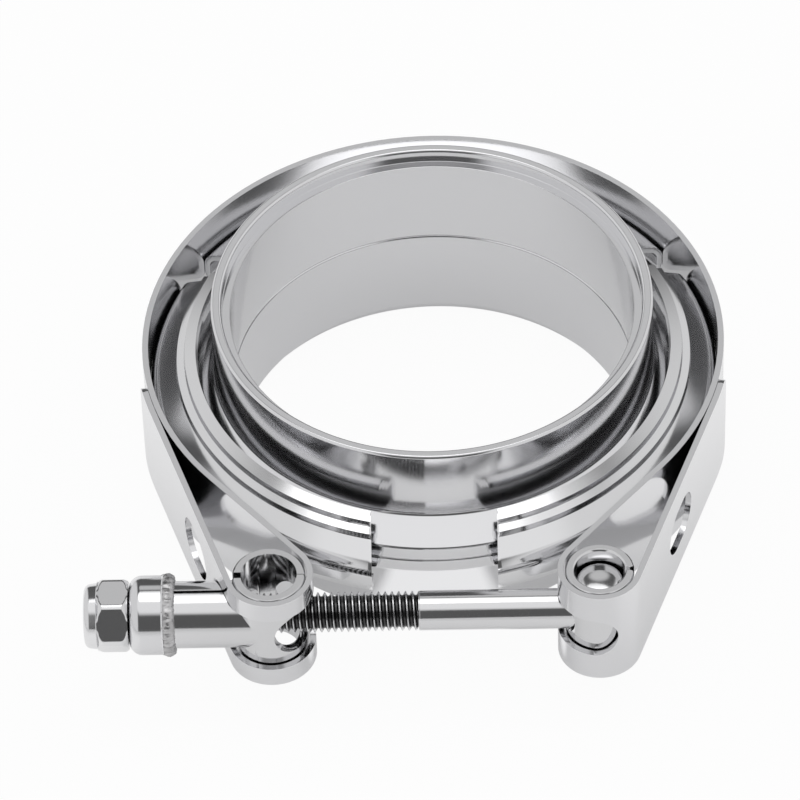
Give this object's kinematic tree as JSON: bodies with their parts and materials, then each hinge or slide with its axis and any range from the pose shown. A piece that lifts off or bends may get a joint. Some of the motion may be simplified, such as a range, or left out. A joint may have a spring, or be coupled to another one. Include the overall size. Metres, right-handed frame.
{
  "type": "v band clamp with weld flanges",
  "caption": "Stainless V-band clamp round a mated pair of weld flanges for a 63.5 mm exhaust tube, closed by a T-bolt, tee trunnion and lock nut.",
  "frame": {"origin": "on the tube's axis at the mouth of the lower flange, which the set stands on", "axes": "+Z along the tube's axis, up through the upper flange; +X along the bolt, from its nut to its head; -Y towards the bolt from the tube's axis"},
  "size_m": [0.0965, 0.0993, 0.0346],
  "materials": {
    "flange_steel": "turned and polished stainless steel with fine lathe lines",
    "retainer_steel": "rolled and polished stainless sheet",
    "strap_steel": "bright cold-rolled stainless strip",
    "trunnion_steel": "pressed and tumbled stainless steel",
    "cup_steel": "pressed stainless cup with a weld bead",
    "bolt_steel": "bright stainless bolt with a rolled thread",
    "nut_steel": "bright stainless nut",
    "nylon": "plain natural nylon"
  },
  "bodies": {
    "root": {"upper_flange": "flange_steel", "lower_flange": "flange_steel", "v_retainer_back": "retainer_steel", "band_strap": "strap_steel"},
    "left_arm": {"v_retainer_left": "retainer_steel"},
    "right_arm": {"v_retainer_right": "retainer_steel"},
    "tee": {"tee_front_shell": "trunnion_steel", "tee_rear_shell": "trunnion_steel", "end_cup": "cup_steel"},
    "bolt": {"t_bolt": "bolt_steel", "bolt_sleeve": "trunnion_steel"},
    "nut": {"lock_nut": "nut_steel", "nut_insert": "nylon"}
  },
  "joints": [
    {"name": "left_arm_close", "type": "hinge", "parent": "root", "child": "left_arm", "pos_m": [-0.0381, 0.022, 0.0173], "axis": [0, 0, 1], "range_deg": [0, 0.9], "deforming": ["band_strap"]},
    {"name": "right_arm_close", "type": "hinge", "parent": "root", "child": "right_arm", "pos_m": [0.0381, 0.022, 0.0173], "axis": [0, 0, 1], "range_deg": [-0.9, 0], "deforming": ["band_strap"]},
    {"name": "tee_swing", "type": "hinge", "parent": "left_arm", "child": "tee", "pos_m": [-0.0244, -0.0484, 0.0173], "axis": [0, 0, 1], "range_deg": [-0.9, 0], "deforming": ["band_strap"]},
    {"name": "bolt_swing", "type": "hinge", "parent": "right_arm", "child": "bolt", "pos_m": [0.0244, -0.0484, 0.0173], "axis": [0, 0, 1], "range_deg": [0, 0.9], "deforming": ["band_strap"]},
    {"name": "nut_turn", "type": "hinge", "parent": "tee", "child": "nut", "pos_m": [-0.048, -0.0484, 0.0173], "axis": [1, 0, 0], "range_deg": [0, 797], "deforming": ["band_strap"]}
  ],
  "couplings": [
    {"joint": "right_arm_close", "follows": "left_arm_close", "ratio": -1},
    {"joint": "tee_swing", "follows": "left_arm_close", "ratio": -1},
    {"joint": "bolt_swing", "follows": "left_arm_close", "ratio": 1},
    {"joint": "nut_turn", "follows": "left_arm_close", "ratio": 884.67}
  ]
}
